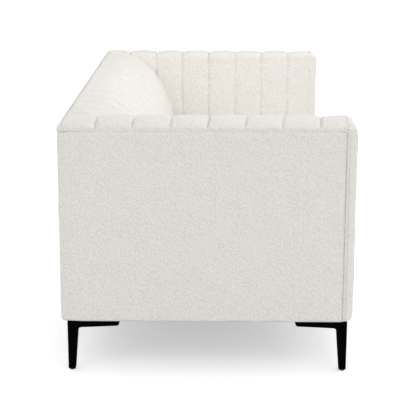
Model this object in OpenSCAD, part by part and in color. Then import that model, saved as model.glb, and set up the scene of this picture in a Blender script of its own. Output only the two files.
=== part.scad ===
// Channelled tuxedo sofa: hardwood frame, sinuous seat springs, sewn channel pads, loose bench cushion.
// The floor is z = 0, the front faces -Y, and the origin is under the middle of the sofa.
// Left and right are as seen by someone who stands in front of it.

/* [Overall] */
// Length over both arms
sofa_l = 1800; // [1600:10:2200]
// Depth from the front of the arms to the outside back
sofa_d = 880; // [840:5:960]
// Height of the arms and of the back, which are level
sofa_h = 770; // [730:5:800]
// Height of the underside above the floor
leg_h = 160; // [140:5:180]
// Thickness of each arm
arm_t = 150; // [140:2:180]

/* [Seat] */
// Thickness of the padded deck on the seat springs
deck_t = 32.6; // [24:0.2:42]
// Height of the bench cushion's side band
cushion_h = 150; // [110:5:170]
// Rise of the cushion's top above its side band
cushion_crown = 14; // [6:1:24]
// How far the cushion's sides draw in between its corners
cushion_draw = 6; // [2:1:9]
// Corner radius of the cushion, seen from above
cushion_corner_r = 26; // [16:1:40]
// Rounding of the cushion's top and bottom edges
cushion_edge_r = 9; // [5:1:14]
// Gap between the cushion and the pads round it
cushion_gap = 3; // [1:0.5:8]
// Gap under a piece that lifts off
rest_gap = 0.3; // [0.2:0.1:0.5]
// How far the seat front stands behind the arm fronts
seat_step = 10; // [4:1:16]
// Wadding and cover round the foam core of the cushion
cushion_wrap = 26; // [20:1:34]

/* [Channels] */
// Sewn channels along each arm
arm_channels = 8; // [6:1:9]
// Sewn channels along the back
back_channels = 13; // [9:1:14]
// Depth of the sewn seams between the channels
channel_dip = 6; // [4:1:10]

/* [Back curve] */
// Width of the flat top of the back
back_flat_w = 60; // [50:2:80]
// How far the curve runs forward from the flat top
back_curve_d = 232; // [200:2:260]
// How far the curve runs down from the flat top
back_curve_h = 330; // [300:5:360]

/* [Padding and covers] */
// Thickness of the outside panels, cover and wadding together
skin_t = 12; // [8:1:16]
// Height of the band between the top edge and the outside panels
band_h = 26; // [20:1:36]
// Thickness of the pad on top of the frame
top_pad_t = 45; // [38:1:55]
// Thickness of the pad on the front of the back
back_pad_t = 50; // [40:1:60]
// Thickness of the pad on the front of each arm
front_pad_t = 30; // [24:1:40]
// Radius along the outer top edge
outer_edge_r = 14; // [8:1:18]
// Radius along the inner top edge of the arms
inner_edge_r = 22; // [12:1:30]
// Corner radius at the bottom of the outside arm panels
panel_corner_r = 16; // [8:1:24]
// Edge radius of the seat front
seat_front_r = 12; // [6:1:16]
// Thickness of the dust cover under the frame
dust_t = 1.2; // [0.8:0.1:2]

/* [Frame] */
// Width of the arm frame, and of its posts and top rail
arm_frame_w = 82; // [76:1:88]
// Thickness of the outer boards on the arms and the back
board_t = 3; // [2:0.5:4]
// Thickness of the inner arm boards
inner_board_t = 4; // [3:0.5:5]
// Thickness of the bent board behind the back pad
back_board_t = 4; // [3:0.5:6]
// Thickness of the front and spring rails, and of the back top rail
rail_t = 25; // [20:1:30]
// Thickness of the rear rail
rear_rail_t = 45; // [42:1:50]
// Height of the seat rails
rail_h = 110; // [95:1:112]
// Thickness of the side rails
side_rail_t = 45; // [41:1:50]
// Thickness of the arm posts
post_t = 35; // [28:1:42]
// Thickness of the arm top rails
top_rail_t = 25; // [20:1:32]
// Height of the back top rail
back_rail_h = 50; // [40:1:70]
// Number of ribs in the back
rib_count = 5; // [4:1:6]
// Thickness of a back rib
rib_t = 18; // [12:1:24]
// Width of the centre bearer
bearer_w = 60; // [56:1:80]
// Height of the centre bearer
bearer_h = 80; // [60:1:90]
// Length of the corner blocks
block_l = 60; // [50:1:90]

/* [Springs] */
// Number of sinuous springs
spring_count = 9; // [7:1:11]
// Thickness of the spring wire
wire_t = 3.8; // [3:0.1:4.5]
// Width of a spring over its bends
spring_w = 64; // [58:1:76]
// Number of cross bars in a spring
spring_bars = 18; // [16:2:20]
// Thickness of the clip plate
clip_t = 1.2; // [0.8:0.1:1.6]
// Width of a clip
clip_w = 22; // [16:1:26]
// Depth of a clip in front of the wire
clip_lip = 6; // [4:0.5:8]

/* [Legs] */
// Distance of a leg from the edges of the sofa
leg_inset = 17; // [14:1:22]
// Length of each arm of a leg's bracket
bracket_l = 157; // [137:2:165]
// Width of a bracket arm, and of the leg under it
bracket_w = 31; // [26:1:34]
// Thickness of a bracket arm at its tip
bracket_t = 18; // [14:0.5:20]
// Thickness of a bracket arm at the leg
bracket_root_t = 23; // [20.5:0.5:28]
// Radius between the leg and its bracket
leg_fillet_r = 12; // [8:1:16]
// Width of the leg at its foot
foot_w = 21.5; // [17.5:0.5:24]
// How far the leg's outer edge leans in at the foot
foot_shift = 0.5; // [0.5:0.5:3]
// Radius of a foot glide
glide_r = 7.5; // [6:0.5:8.5]
// Height of a foot glide
glide_h = 5; // [4:0.5:8]
// Shank radius of the leg screws
screw_r = 2.25; // [2:0.05:2.6]
// Head radius of the leg screws
screw_head_r = 4.5; // [4:0.1:5.5]
// Head height of the leg screws
screw_head_h = 2.5; // [2:0.1:3.5]
// Depth of the leg screws in the wood
screw_bite = 25; // [18:1:35]
// Clearance round a screw
screw_clear = 0.3; // [0.1:0.05:0.5]
// Distance of the screws in the end rails from the front of the frame
screw_edge_s = 10; // [9:0.5:12]
// Distance from the leg's outer corner to its nearer screws
near_screw_s = 56; // [52:1:60]
// Distance from the bracket's tips to the screws near them
tip_screw_s = 32; // [26:1:44]
// Top radius of the centre leg
centre_leg_r = 15; // [12:0.5:18]
// Foot radius of the centre leg
centre_foot_r = 11; // [9:0.5:12]
// Radius of the centre leg's flange
flange_r = 28; // [26:0.5:30]
// Thickness of the centre leg's flange
flange_t = 4; // [3:0.5:6]
// How far the centre leg stands in front of the middle
centre_leg_y = 100; // [40:5:160]

/* [Zip] */
// Distance of the zip's ends from the ends of the cushion
zip_end_s = 97; // [60:1:140]
// Height of the zip tape
zip_h = 24; // [18:1:30]
// Thickness of the zip tape, and of its teeth
zip_t = 1.5; // [1:0.1:2]
// Height of the zip teeth
teeth_h = 5; // [4:0.5:7]
// Depth of the groove that the zip lies in
zip_groove = 13; // [12:0.5:15]
// Length of the zip slider
slider_l = 11; // [9:0.5:14]
// Height of the zip slider
slider_h = 10; // [8:0.5:12]
// Thickness of the zip slider
slider_t = 3; // [2:0.5:4]
// Length of the pull tab
tab_l = 26; // [18:1:32]
// Thickness of the pull tab
tab_t = 1; // [0.8:0.1:1.5]

/* [Hidden] */

// Colours, from the cover inwards
cover_colour = [0.93, 0.915, 0.885];
wood_colour = [0.78, 0.63, 0.44];
ply_colour = [0.83, 0.71, 0.52];
board_colour = [0.55, 0.42, 0.29];
foam_colour = [0.95, 0.91, 0.74];
cloth_colour = [0.12, 0.12, 0.13];
steel_colour = [0.62, 0.63, 0.65];
leg_colour = [0.035, 0.035, 0.04];

// One overrun for every cut
over = 2;
// Facets of the round pieces
round_fn = 48;

// Halves and planes of the sofa
half_l = sofa_l / 2;
half_d = sofa_d / 2;
inner_x = half_l - arm_t;
frame_x = half_l - skin_t - board_t;
frame_in_x = frame_x - arm_frame_w;
frame_front_y = -half_d + front_pad_t;
frame_rear_y = half_d - skin_t - board_t;
rear_top_y = frame_rear_y - rail_t;
rear_rail_y = frame_rear_y - rear_rail_t;
panel_y = half_d - skin_t;
frame_base_z = leg_h + dust_t;
rail_top_z = frame_base_z + rail_h;
spring_z = rail_top_z + clip_t;
deck_base_z = spring_z + wire_t + clip_t;
deck_top_z = deck_base_z + deck_t;
frame_top_z = sofa_h - top_pad_t;
seam_z = sofa_h - band_h;
rear_edge_z = sofa_h - channel_dip;

// The back's curve is a quarter of an ellipse, in steps of equal angle
curve_z = sofa_h - back_curve_h;
curve_steps = 6;
curve_angles = [for (k = [0:curve_steps]) 90 * (1 - k / curve_steps)];
pad_board_d = back_curve_d - back_pad_t;
pad_board_h = back_curve_h - top_pad_t;
rib_d = pad_board_d - back_board_t;
rib_h = pad_board_h - back_board_t;
rib_front_y = half_d - back_flat_w - rib_d;
back_face_y = half_d - back_flat_w - back_curve_d;
spring_rail_y = rib_front_y - rail_t;
lining_gap = 0.3;

// Places across one channel where the pads have a ring of points
ring_shares = [0, 0.14, 0.5, 0.86];
dip_power = 3;

// Seam dip at a share of the way across a channel, deepest at the seams on both its sides
function dip_at(share) = channel_dip * pow(abs(1 - 2 * share), dip_power);
function mix(a, b, share) = a + (b - a) * share;
function reversed(list) = [for (k = [len(list) - 1:-1:0]) list[k]];

// A row of an outline is [forward, up, dip forward, dip up]: a point, and where its seams sink to
function sunk(row, dip) = [row[0] + row[2] * dip, row[1] + row[3] * dip];
function arc_row(centre, r, angle) = [
    centre[0] + r * cos(angle), centre[1] + r * sin(angle), -cos(angle), -sin(angle)
];

// Triangles between rings that each have n points, as seen from outside
function wall_faces(rings, n) = [
    for (k = [0:rings - 2], j = [0:n - 1], half = [0, 1])
        let (a = k * n + j, b = k * n + (j + 1) % n, c = b + n, d = a + n)
        half == 0 ? [a, b, c] : [a, c, d]
];

// Triangles that close a strip's first ring: its outer row runs out and its lining row runs back
function first_cap(n) = [
    for (v = [0:n / 2 - 2], half = [0, 1])
        half == 0 ? [v, n - 1 - v, n - 2 - v] : [v, n - 2 - v, v + 1]
];
function last_cap(n, base) = [for (f = first_cap(n)) [base + f[0], base + f[2], base + f[1]]];

// A pad from a list of closed rings whose second half runs back along the lining
module strip_solid(rings) {
    n = len(rings[0]);
    last = (len(rings) - 1) * n;
    polyhedron(
        points = [for (ring = rings, p = ring) p],
        faces = concat(wall_faces(len(rings), n), first_cap(n), last_cap(n, last))
    );
}

// A closed solid from rings, with a fan of triangles to a point at each end
module ring_solid(rings, first_point, last_point) {
    n = len(rings[0]);
    total = len(rings) * n;
    polyhedron(
        points = concat([for (ring = rings, p = ring) p], [first_point, last_point]),
        faces = concat(
            wall_faces(len(rings), n),
            [for (j = [0:n - 1]) [total, (j + 1) % n, j]],
            [for (j = [0:n - 1]) [total + 1, total - n + j, total - n + (j + 1) % n]]
        )
    );
}

// Pieces are drawn on the left, at the front, and mirrored to where they belong
module on_side(side) {
    if (side == "left") children();
    else mirror([1, 0, 0]) children();
}
module at_end(end) {
    if (end == "front") children();
    else mirror([0, 1, 0]) children();
}

// A box between two corners
module block(low, high) {
    translate(low) cube(high - low);
}

// Extrudes an outline of [Y, Z] points along X, from one X to another
module along_x(from_x, to_x) {
    translate([from_x, 0, 0]) rotate([90, 0, 90]) linear_extrude(to_x - from_x) children();
}

// Screw places: [x, y] on the left front leg, measured from the middle of the sofa
leg_x = -half_l + leg_inset;
leg_y = -half_d + leg_inset;
far_screw_s = bracket_l - tip_screw_s;
leg_screw_places = [
    [leg_x + near_screw_s, frame_front_y + screw_edge_s],
    [leg_x + far_screw_s, frame_front_y + screw_edge_s],
    [leg_x + bracket_w / 2, leg_y + near_screw_s],
    [leg_x + bracket_w / 2, leg_y + far_screw_s]
];
flange_screw_s = (centre_leg_r + flange_r) / 2;
bracket_seat_z = leg_h - bracket_t;
flange_seat_z = leg_h - flange_t;

// Cylinders at every leg screw, from one height to another
module at_leg_screws() {
    for (mx = [0, 1], my = [0, 1], p = leg_screw_places)
        mirror([mx, 0, 0]) mirror([0, my, 0]) translate(p) children();
}
module at_flange_screws() {
    for (s = [-1, 1]) translate([0, s * flange_screw_s - centre_leg_y, 0]) children();
}
module leg_pilots() {
    at_leg_screws() translate([0, 0, frame_base_z - over])
        cylinder(r = screw_r + screw_clear, h = screw_bite + screw_clear + over, $fn = round_fn);
}

module cross_rail(y, thickness, from_z, height) {
    block([-frame_in_x, y, from_z], [frame_in_x, y + thickness, from_z + height]);
}

module front_rail() {
    color(wood_colour) difference() {
        cross_rail(frame_front_y, rail_t, frame_base_z, rail_h);
        leg_pilots();
    }
}

module rear_rail() {
    color(wood_colour) difference() {
        cross_rail(rear_rail_y, rear_rail_t, frame_base_z, rail_h);
        leg_pilots();
    }
}

module spring_rail() {
    color(wood_colour) cross_rail(spring_rail_y, rail_t, frame_base_z, rail_h);
}

module side_rail(side) {
    color(wood_colour) difference() {
        on_side(side) block(
            [-frame_x, frame_front_y + post_t, frame_base_z],
            [-frame_x + side_rail_t, frame_rear_y - post_t, rail_top_z]
        );
        leg_pilots();
    }
}

module centre_bearer() {
    color(wood_colour) difference() {
        block(
            [-bearer_w / 2, frame_front_y + rail_t, frame_base_z],
            [bearer_w / 2, spring_rail_y, frame_base_z + bearer_h]
        );
        at_flange_screws() translate([0, 0, frame_base_z - over])
            cylinder(r = screw_r + screw_clear, h = screw_bite + screw_clear + over, $fn = round_fn);
    }
}

// A glued block in each corner, between the post and the side rail
block_share = 0.4;
module corner_block() {
    w = arm_frame_w - side_rail_t;
    y = frame_front_y + post_t;
    translate([-frame_in_x, y, frame_base_z]) linear_extrude(rail_h) polygon([
        [0, 0], [0, block_l * block_share], [-w * block_share, block_l], [-w, block_l], [-w, 0]
    ]);
}

module corner_blocks() {
    color(wood_colour) {
        corner_block();
        mirror([1, 0, 0]) corner_block();
        translate([0, frame_rear_y + frame_front_y, 0]) mirror([0, 1, 0]) {
            corner_block();
            mirror([1, 0, 0]) corner_block();
        }
    }
}

module arm_post(side, end) {
    y = end == "front" ? frame_front_y : frame_rear_y - post_t;
    color(wood_colour) difference() {
        on_side(side) block(
            [-frame_x, y, frame_base_z],
            [-frame_in_x, y + post_t, frame_top_z - top_rail_t]
        );
        leg_pilots();
    }
}

module arm_top_rail(side) {
    color(wood_colour) on_side(side) block(
        [-frame_x, frame_front_y, frame_top_z - top_rail_t],
        [-frame_in_x, frame_rear_y, frame_top_z]
    );
}

module back_top_rail() {
    color(wood_colour) cross_rail(rear_top_y, rail_t, frame_top_z - back_rail_h, back_rail_h);
}

// Points [Y, Z] of the back's curve, drawn in to the given reach forward and up
function curve_points(reach, rise) = [
    for (a = curve_angles) [half_d - back_flat_w - reach * cos(a), curve_z + rise * sin(a)]
];

module back_rib() {
    along_x(-rib_t / 2, rib_t / 2) polygon(concat(
        [[rear_top_y, curve_z + rib_h]],
        curve_points(rib_d, rib_h),
        [[rib_front_y, frame_base_z], [rear_rail_y, frame_base_z]],
        [[rear_rail_y, rail_top_z], [rear_top_y, rail_top_z]]
    ));
}

module back_ribs() {
    reach = inner_x - lining_gap - rib_t / 2;
    color(ply_colour) for (k = [0:rib_count - 1])
        translate([mix(-reach, reach, k / (rib_count - 1)), 0, 0]) back_rib();
}

module back_board() {
    reach = inner_x - lining_gap;
    color(board_colour) along_x(-reach, reach) polygon(concat(
        [[rear_top_y, frame_top_z]],
        curve_points(pad_board_d, pad_board_h),
        [[rib_front_y - back_board_t, deck_base_z], [rib_front_y, deck_base_z]],
        reversed(curve_points(rib_d, rib_h)),
        [[rear_top_y, curve_z + rib_h]]
    ));
}

module inner_arm_board(side) {
    color(board_colour) on_side(side) block(
        [-frame_in_x, frame_front_y, rail_top_z],
        [-frame_in_x + inner_board_t, rear_top_y, frame_top_z]
    );
}

module outer_arm_board(side) {
    color(board_colour) on_side(side) block(
        [-frame_x - board_t, frame_front_y, frame_base_z],
        [-frame_x, frame_rear_y, frame_top_z]
    );
}

module outer_back_board() {
    color(board_colour) block(
        [-frame_x - board_t, frame_rear_y, frame_base_z],
        [frame_x + board_t, frame_rear_y + board_t, frame_top_z]
    );
}

// A spring runs from the middle of the front rail to the middle of the spring rail
spring_from_y = frame_front_y + rail_t / 2;
spring_to_y = spring_rail_y + rail_t / 2;
spring_pitch = (spring_to_y - spring_from_y) / (spring_bars - 1);
bend_r = spring_pitch / 2;
bar_reach = spring_w / 2 - bend_r;
bend_steps = 5;

// Places along the wire as [x, y, heading]: bars run across, and half turns join them
spring_path = concat(
    [[-bar_reach, spring_from_y, 0]],
    [
        for (k = [0:spring_bars - 2], m = [0:bend_steps])
            let (
                turn = k % 2 == 0 ? 1 : -1,
                angle = turn * (180 * m / bend_steps - 90),
                x = turn * (bar_reach + bend_r * cos(angle)),
                y = spring_from_y + k * spring_pitch + bend_r + turn * bend_r * sin(angle)
            )
            [x, y, angle + 90]
    ],
    [[(spring_bars % 2 == 0 ? -1 : 1) * bar_reach, spring_to_y, spring_bars % 2 == 0 ? 180 : 0]]
);
function wire_side(offset) = [
    for (p = spring_path) [p[0] - offset * sin(p[2]), p[1] + offset * cos(p[2])]
];

spring_reach = inner_x - spring_w;
function spring_x(k) = mix(-spring_reach, spring_reach, k / (spring_count - 1));

module seat_springs() {
    color(steel_colour) for (k = [0:spring_count - 1])
        translate([spring_x(k), 0, spring_z]) linear_extrude(wire_t)
            polygon(concat(wire_side(wire_t / 2), reversed(wire_side(-wire_t / 2))));
}

// A clip is a folded plate that holds a spring's end bar down on the rail
module spring_clip() {
    back_y = -wire_t / 2 - clip_t;
    difference() {
        block([-clip_w / 2, back_y, 0], [clip_w / 2, wire_t / 2 + clip_lip, wire_t + 2 * clip_t]);
        block(
            [-clip_w / 2 - over, -wire_t / 2, clip_t],
            [clip_w / 2 + over, wire_t / 2 + clip_lip + over, clip_t + wire_t]
        );
    }
}

module spring_clips() {
    color(steel_colour) for (k = [0:spring_count - 1]) {
        translate([spring_x(k), spring_from_y, rail_top_z]) spring_clip();
        translate([spring_x(k), spring_to_y, rail_top_z]) mirror([0, 1, 0]) spring_clip();
    }
}

module seat_deck() {
    color(cloth_colour) block([-inner_x, frame_front_y, deck_base_z], [inner_x, back_face_y, deck_top_z]);
}

// The arm's cover, as rows from its outside seam, over the top and down its inner face
lining_x = skin_t + board_t + arm_frame_w + inner_board_t;
band_dip_share = 0.5;
corner_dip_share = 0.8;
inner_rows_shares = [0.68, 0.34, 0];
arm_rows = concat(
    [
        [0, seam_z, 0, 0],
        [0, sofa_h - outer_edge_r, band_dip_share, 0],
        arc_row([outer_edge_r, sofa_h - outer_edge_r], outer_edge_r, 135),
        [outer_edge_r, sofa_h, 0, -corner_dip_share],
        [arm_t / 2, sofa_h, 0, -1],
        [arm_t - inner_edge_r, sofa_h, 0, -1]
    ],
    [for (a = [60, 30, 0]) arc_row([arm_t - inner_edge_r, sofa_h - inner_edge_r], inner_edge_r, a)],
    [for (s = inner_rows_shares) [arm_t, mix(deck_base_z, sofa_h - inner_edge_r, s), -1, 0]]
);
arm_lining_shares = [0.15, 0.3, 0.5, 0.7, 0.85, 1];
lining_turn_share = 0.9;
arm_lining = concat(
    [[skin_t, seam_z], [skin_t, frame_top_z]],
    [for (s = arm_lining_shares) [mix(skin_t, lining_x, s), frame_top_z]],
    [[lining_x, mix(deck_base_z, frame_top_z, lining_turn_share)]],
    [for (s = inner_rows_shares) [lining_x, mix(deck_base_z, frame_top_z, s)]]
);

// Stations along the arm as [y, dip]; the front channel has a seam behind it only
arm_pitch = sofa_d / arm_channels;
function arm_seam_y(i) = min(panel_y, half_d - i * arm_pitch);
arm_stations = concat(
    [
        for (i = [0:arm_channels - 2], s = ring_shares)
            [mix(arm_seam_y(i), arm_seam_y(i + 1), s), dip_at(s)]
    ],
    [
        for (s = [ring_shares[0], ring_shares[1], ring_shares[2]])
            [arm_seam_y(arm_channels - 1 + s), dip_at(s)]
    ],
    [[frame_front_y, 0]]
);

module arm_pad(side) {
    rings = [
        for (station = arm_stations)
            let (outer = [for (row = arm_rows) sunk(row, station[1])])
            [for (p = concat(outer, reversed(arm_lining))) [p[0] - half_l, station[0], p[1]]]
    ];
    color(cover_colour) on_side(side) difference() {
        strip_solid(rings);
        block(
            [-half_l + lining_x - over, rear_top_y, deck_base_z - over],
            [-inner_x + over, half_d, frame_top_z + over]
        );
    }
}

// The arm's front, as a rounded outline of [x, z] that shrinks towards a crowned middle
front_low_r = 12;
front_side_shares = [0.25, 0.5, 0.75];
front_low_z = leg_h + front_low_r;
front_outline = concat(
    [for (a = [180, 225, 270]) arc_row([front_low_r, front_low_z], front_low_r, a)],
    [for (a = [270, 315, 360]) arc_row([arm_t - front_low_r, front_low_z], front_low_r, a)],
    [for (s = front_side_shares) [arm_t, mix(front_low_z, sofa_h - inner_edge_r, s)]],
    [for (a = [0, 30, 60, 90]) arc_row([arm_t - inner_edge_r, sofa_h - inner_edge_r], inner_edge_r, a)],
    [[arm_t / 2, sofa_h]],
    [for (a = [90, 135, 180]) arc_row([outer_edge_r, sofa_h - outer_edge_r], outer_edge_r, a)],
    [for (s = reversed(front_side_shares)) [0, mix(front_low_z, sofa_h - outer_edge_r, s)]]
);
front_angles = [0, 25, 50, 72];
front_crown_shares = [0.35, 0.7];

// A ring of the front pad: drawn in on all sides by inset, at a depth in front of the frame
function front_ring(inset, depth) = [
    for (p = front_outline) [
        mix(inset, arm_t - inset, p[0] / arm_t) - half_l,
        frame_front_y - depth,
        mix(leg_h + inset, sofa_h - inset, (p[1] - leg_h) / (sofa_h - leg_h))
    ]
];

module arm_front_pad(side) {
    edge_inset = front_pad_t * (1 - cos(front_angles[3]));
    edge_depth = front_pad_t * sin(front_angles[3]);
    rings = concat(
        [for (a = front_angles) front_ring(front_pad_t * (1 - cos(a)), front_pad_t * sin(a))],
        [
            for (s = front_crown_shares)
                front_ring(mix(edge_inset, arm_t / 2, s), mix(edge_depth, front_pad_t, s * (2 - s)))
        ]
    );
    middle_z = (leg_h + sofa_h) / 2;
    color(cover_colour) on_side(side) ring_solid(
        rings,
        [-half_l + arm_t / 2, frame_front_y, middle_z],
        [-half_l + arm_t / 2, -half_d, middle_z]
    );
}

// The back's cover, as rows from the outside back, over the top and down the curve
rear_round_shares = [0.3, 0.6];
back_lining_shares = [0, 0.3, 0.6];
back_rows = concat(
    [
        [skin_t, rear_edge_z, 0, 0],
        [
            skin_t + outer_edge_r * rear_round_shares[0],
            mix(rear_edge_z, sofa_h, rear_round_shares[1]), 0, -band_dip_share
        ],
        [skin_t + outer_edge_r, sofa_h, 0, -corner_dip_share]
    ],
    [
        for (a = curve_angles)
            [back_flat_w + back_curve_d * cos(a), curve_z + back_curve_h * sin(a), -cos(a), -sin(a)]
    ],
    [[back_flat_w + back_curve_d, deck_base_z, -1, 0]]
);
back_lining = concat(
    [for (s = back_lining_shares) [mix(skin_t, back_flat_w, s), frame_top_z]],
    [for (a = curve_angles) [back_flat_w + pad_board_d * cos(a), curve_z + pad_board_h * sin(a)]],
    [[back_flat_w + pad_board_d, deck_base_z]]
);

// Stations along the back as [x, dip], between the arms' inner faces
back_reach = inner_x - lining_gap;
back_pitch = 2 * back_reach / back_channels;
back_stations = concat(
    [
        for (i = [0:back_channels - 1], s = ring_shares)
            [back_reach - (i + s) * back_pitch, dip_at(s)]
    ],
    [[-back_reach, channel_dip]]
);

module back_pad() {
    rings = [
        for (station = back_stations)
            let (outer = [for (row = back_rows) sunk(row, station[1])])
            [for (p = concat(outer, reversed(back_lining))) [station[0], half_d - p[0], p[1]]]
    ];
    color(cover_colour) strip_solid(rings);
}

module seat_front_pad() {
    front_y = -half_d + seat_step;
    color(cover_colour) along_x(-inner_x, inner_x) difference() {
        union() {
            translate([front_y, leg_h + seat_front_r])
                square([frame_front_y - front_y, deck_top_z - leg_h - 2 * seat_front_r]);
            translate([front_y + seat_front_r, leg_h])
                square([frame_front_y - front_y - seat_front_r, deck_top_z - leg_h]);
            for (z = [leg_h + seat_front_r, deck_top_z - seat_front_r])
                translate([front_y + seat_front_r, z]) circle(r = seat_front_r, $fn = round_fn);
        }
        translate([frame_front_y, leg_h - over]) square([seat_front_r + over, deck_top_z]);
    }
}

module outside_arm_panel(side) {
    r = panel_corner_r;
    color(cover_colour) on_side(side) along_x(-half_l, -half_l + skin_t) union() {
        translate([frame_front_y, leg_h + r])
            square([half_d - frame_front_y, seam_z - leg_h - r]);
        translate([frame_front_y, leg_h]) square([half_d - frame_front_y - r, r]);
        translate([half_d - r, leg_h + r]) circle(r = r, $fn = round_fn);
    }
}

// The outside back reaches over the ends of the arm bands, up to the rear edge
module outside_back_panel() {
    reach = half_l - skin_t;
    color(cover_colour) translate([0, half_d, 0]) rotate([90, 0, 0]) linear_extrude(skin_t) {
        translate([-reach, leg_h]) square([2 * reach, seam_z - leg_h]);
        translate([-half_l + outer_edge_r, seam_z])
            square([2 * (half_l - outer_edge_r), rear_edge_z - seam_z]);
        translate([-half_l, seam_z]) square([2 * half_l, rear_edge_z - outer_edge_r - seam_z]);
        for (s = [-1, 1]) translate([s * (half_l - outer_edge_r), rear_edge_z - outer_edge_r])
            intersection() {
                circle(r = outer_edge_r, $fn = round_fn);
                translate([-outer_edge_r, 0]) square([2 * outer_edge_r, outer_edge_r]);
            }
    }
}

module dust_cover() {
    color(cloth_colour) difference() {
        block(
            [-half_l + skin_t, frame_front_y, leg_h],
            [half_l - skin_t, half_d - skin_t, frame_base_z]
        );
        at_leg_screws() translate([0, 0, leg_h - over])
            cylinder(r = screw_r + screw_clear, h = dust_t + 2 * over, $fn = round_fn);
        at_flange_screws() translate([0, 0, leg_h - over])
            cylinder(r = screw_r + screw_clear, h = dust_t + 2 * over, $fn = round_fn);
    }
}

// The leg's side outline: straight under its bracket, then tapered to the foot
taper_z = leg_h - bracket_root_t - leg_fillet_r;
module leg_outline() {
    polygon([
        [0, leg_h], [bracket_w, leg_h], [bracket_w, taper_z],
        [foot_shift + foot_w, glide_h], [foot_shift, glide_h], [0, taper_z]
    ]);
}

module bracket_outline() {
    tip = bracket_l - bracket_t / 2;
    root_z = leg_h - bracket_root_t;
    polygon([
        [0, leg_h], [tip, leg_h], [tip, leg_h - bracket_t],
        [bracket_w + leg_fillet_r, root_z], [0, root_z]
    ]);
    translate([tip, leg_h - bracket_t / 2]) circle(d = bracket_t, $fn = round_fn);
    difference() {
        translate([0, taper_z]) square([bracket_w + leg_fillet_r, leg_fillet_r]);
        translate([bracket_w + leg_fillet_r, taper_z]) circle(r = leg_fillet_r, $fn = round_fn);
    }
}

module corner_leg() {
    difference() {
        union() {
            intersection() {
                along_x(0, bracket_w) leg_outline();
                translate([0, bracket_w, 0]) rotate([90, 0, 0]) linear_extrude(bracket_w) leg_outline();
            }
            along_x(0, bracket_w) bracket_outline();
            translate([0, bracket_w, 0]) rotate([90, 0, 0]) linear_extrude(bracket_w)
                bracket_outline();
        }
        for (p = leg_screw_places) translate([p[0] - leg_x, p[1] - leg_y, 0]) {
            translate([0, 0, bracket_seat_z - over])
                cylinder(r = screw_r + screw_clear, h = bracket_t + 2 * over, $fn = round_fn);
            translate([0, 0, bracket_seat_z - bracket_root_t])
                cylinder(r = screw_head_r + screw_clear, h = bracket_root_t, $fn = round_fn);
        }
    }
}

module leg(side, end) {
    color(leg_colour) on_side(side) at_end(end) translate([leg_x, leg_y, 0]) corner_leg();
}

module centre_leg() {
    color(leg_colour) translate([0, -centre_leg_y, 0]) difference() {
        union() {
            translate([0, 0, flange_seat_z]) cylinder(r = flange_r, h = flange_t, $fn = round_fn);
            translate([0, 0, glide_h])
                cylinder(r1 = centre_foot_r, r2 = centre_leg_r, h = flange_seat_z - glide_h, $fn = round_fn);
        }
        for (s = [-1, 1]) translate([0, s * flange_screw_s, flange_seat_z - over])
            cylinder(r = screw_r + screw_clear, h = flange_t + 2 * over, $fn = round_fn);
    }
}

module foot_glides() {
    foot_s = foot_shift + foot_w / 2;
    color(cloth_colour) {
        for (mx = [0, 1], my = [0, 1]) mirror([mx, 0, 0]) mirror([0, my, 0])
            translate([leg_x + foot_s, leg_y + foot_s, 0]) cylinder(r = glide_r, h = glide_h, $fn = round_fn);
        translate([0, -centre_leg_y, 0]) cylinder(r = glide_r, h = glide_h, $fn = round_fn);
    }
}

// A pan-head wood screw whose head sits below its seat, with a cross recess
recess_share = 0.55;
recess_w_share = 0.2;
module wood_screw(seat_z) {
    recess_l = 2 * screw_head_r * recess_share;
    recess_w = 2 * screw_head_r * recess_w_share;
    translate([0, 0, seat_z - screw_head_h]) difference() {
        union() {
            cylinder(r = screw_head_r, h = screw_head_h, $fn = round_fn);
            cylinder(r = screw_r, h = screw_head_h + frame_base_z - seat_z + screw_bite, $fn = round_fn);
        }
        for (a = [0, 90]) rotate([0, 0, a]) translate([-recess_l / 2, -recess_w / 2, -over])
            cube([recess_l, recess_w, over + screw_head_h * recess_share]);
    }
}

module leg_screws() {
    color(steel_colour) {
        at_leg_screws() wood_screw(bracket_seat_z);
        at_flange_screws() wood_screw(flange_seat_z);
    }
}

// The bench cushion, between the arms and in front of the back
cushion_front_y = -half_d + seat_step;
cushion_rear_y = back_face_y - cushion_gap;
cushion_mid_y = (cushion_front_y + cushion_rear_y) / 2;
cushion_half_d = (cushion_rear_y - cushion_front_y) / 2;
cushion_half_l = inner_x - cushion_gap;
cushion_base_z = deck_top_z + rest_gap;
cushion_top_z = cushion_base_z + cushion_h;
long_shares = [for (k = [1:11]) k / 12];
short_shares = [0.25, 0.5, 0.75];
tight_corner_share = 0.2;

// One side of the cushion's outline: a corner, then points that draw in between the corners
function drawn(share) = cushion_draw * 4 * share * (1 - share);
function cushion_ring(inset, z) =
    let (
        hx = cushion_half_l - inset,
        hy = cushion_half_d - inset,
        r = max(cushion_corner_r - inset, cushion_corner_r * tight_corner_share)
    )
    [
        for (p = concat(
            [for (a = [180, 225, 270]) [-hx + r + r * cos(a), -hy + r + r * sin(a)]],
            [for (s = long_shares) [mix(-hx + r, hx - r, s), -hy + drawn(s)]],
            [for (a = [270, 315, 360]) [hx - r + r * cos(a), -hy + r + r * sin(a)]],
            [for (s = short_shares) [hx - drawn(s), mix(-hy + r, hy - r, s)]],
            [for (a = [0, 45, 90]) [hx - r + r * cos(a), hy - r + r * sin(a)]],
            [for (s = long_shares) [mix(hx - r, -hx + r, s), hy - drawn(s)]],
            [for (a = [90, 135, 180]) [-hx + r + r * cos(a), hy - r + r * sin(a)]],
            [for (s = short_shares) [-hx + drawn(s), mix(hy - r, -hy + r, s)]]
        ))
            [p[0], cushion_mid_y + p[1], z]
    ];

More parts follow.
